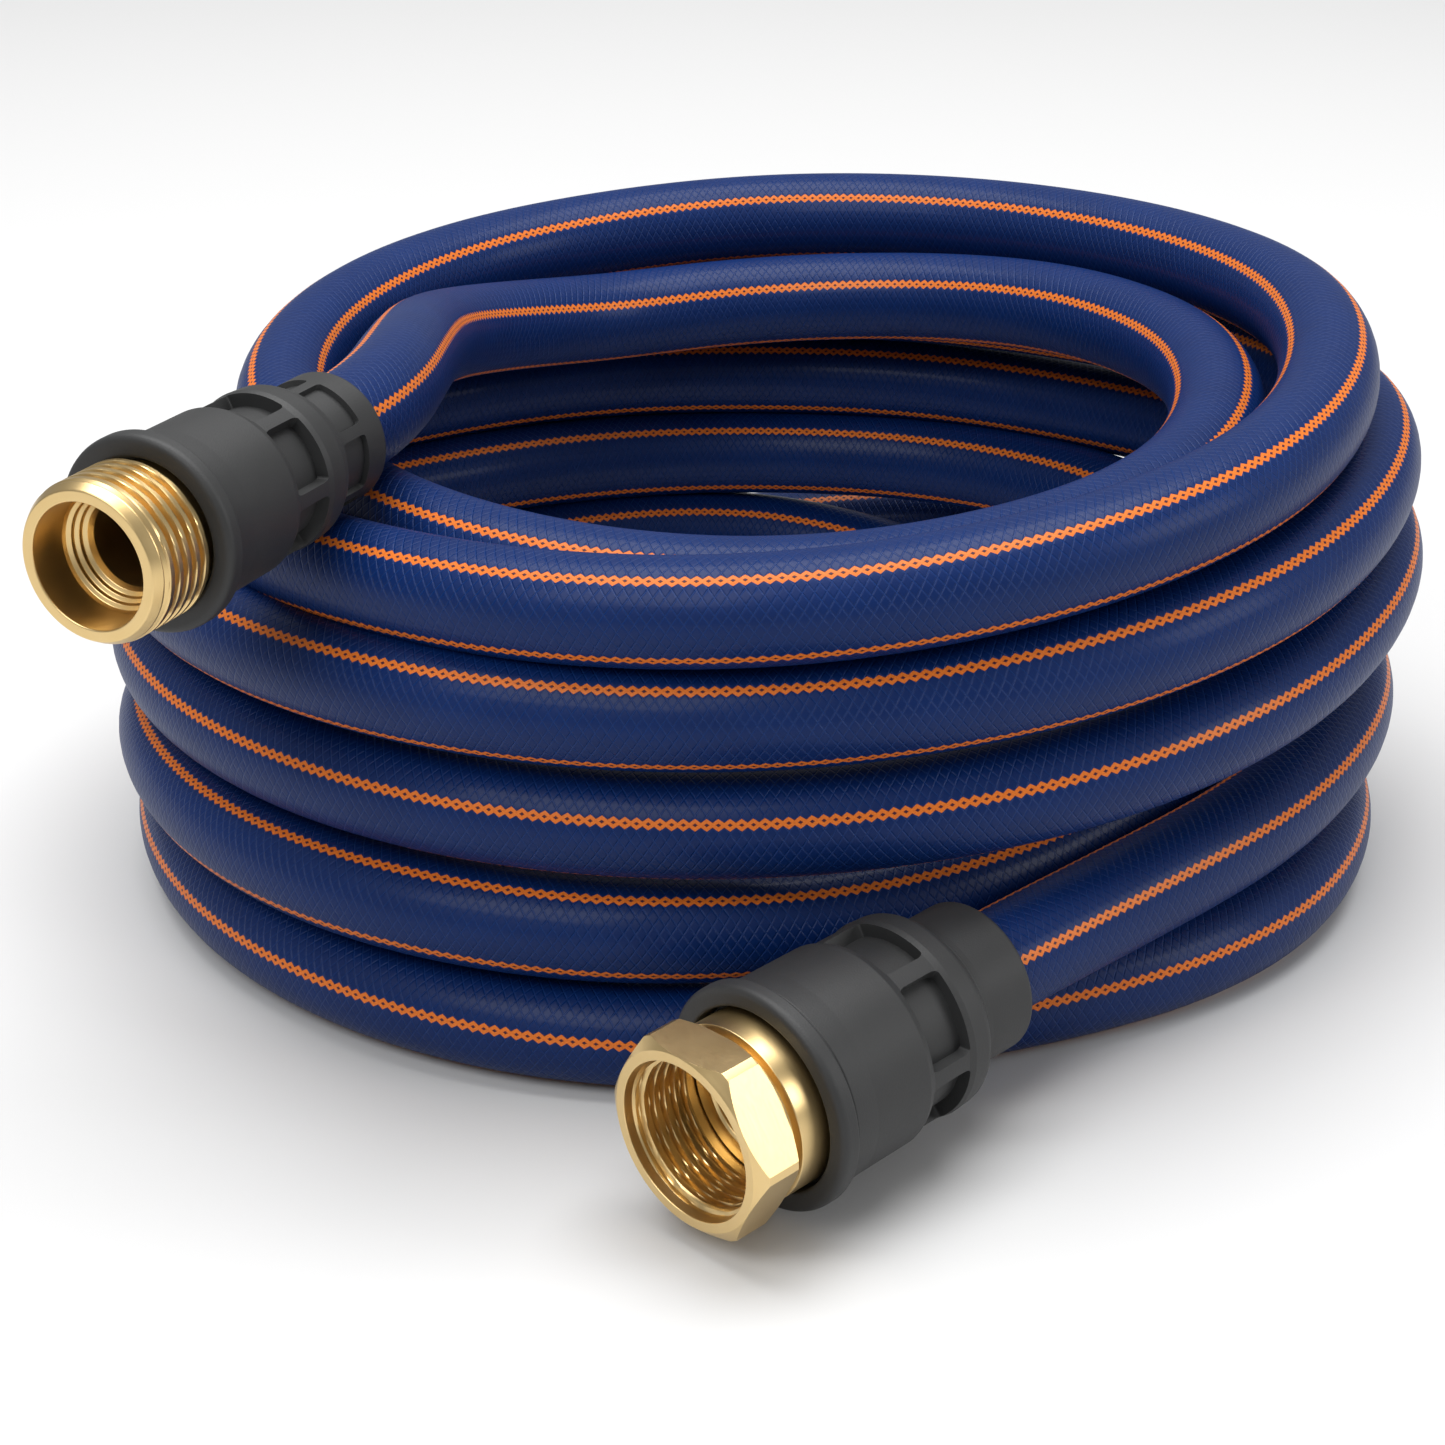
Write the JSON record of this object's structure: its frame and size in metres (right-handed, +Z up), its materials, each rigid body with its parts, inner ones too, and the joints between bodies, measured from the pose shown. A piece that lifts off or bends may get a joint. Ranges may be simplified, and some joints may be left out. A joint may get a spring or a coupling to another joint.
{
  "type": "garden hose",
  "caption": "Coiled garden hose with orange stripes, a brass swivel nut at one end and a brass male thread at the other.",
  "frame": {"origin": "on the floor, under the middle of the box round the whole coiled hose", "axes": "+Z up from the floor; -Y towards the side that the swivel nut lies on; +X to the right seen from there"},
  "size_m": [0.253, 0.298, 0.1206],
  "materials": {
    "hose_jacket": "royal blue satin jacket with a fine knit relief and four orange stripes",
    "charcoal_plastic": "moulded charcoal, slightly satin",
    "brass": "turned, bright with fine tool marks"
  },
  "bodies": {
    "hose": {"hose_coil": "hose_jacket", "female_lead": "hose_jacket", "top_turns": "hose_jacket", "female_collar": "charcoal_plastic", "female_tailpiece": "brass", "male_collar": "charcoal_plastic", "male_fitting": "brass"},
    "swivel_nut": {"female_nut": "brass"}
  },
  "joints": [
    {"name": "nut_swivel", "type": "hinge", "parent": "hose", "child": "swivel_nut", "pos_m": [-0.00439, -0.13118, 0.02085], "axis": [-0.7119, -0.6996, -0.061], "continuous": true}
  ]
}
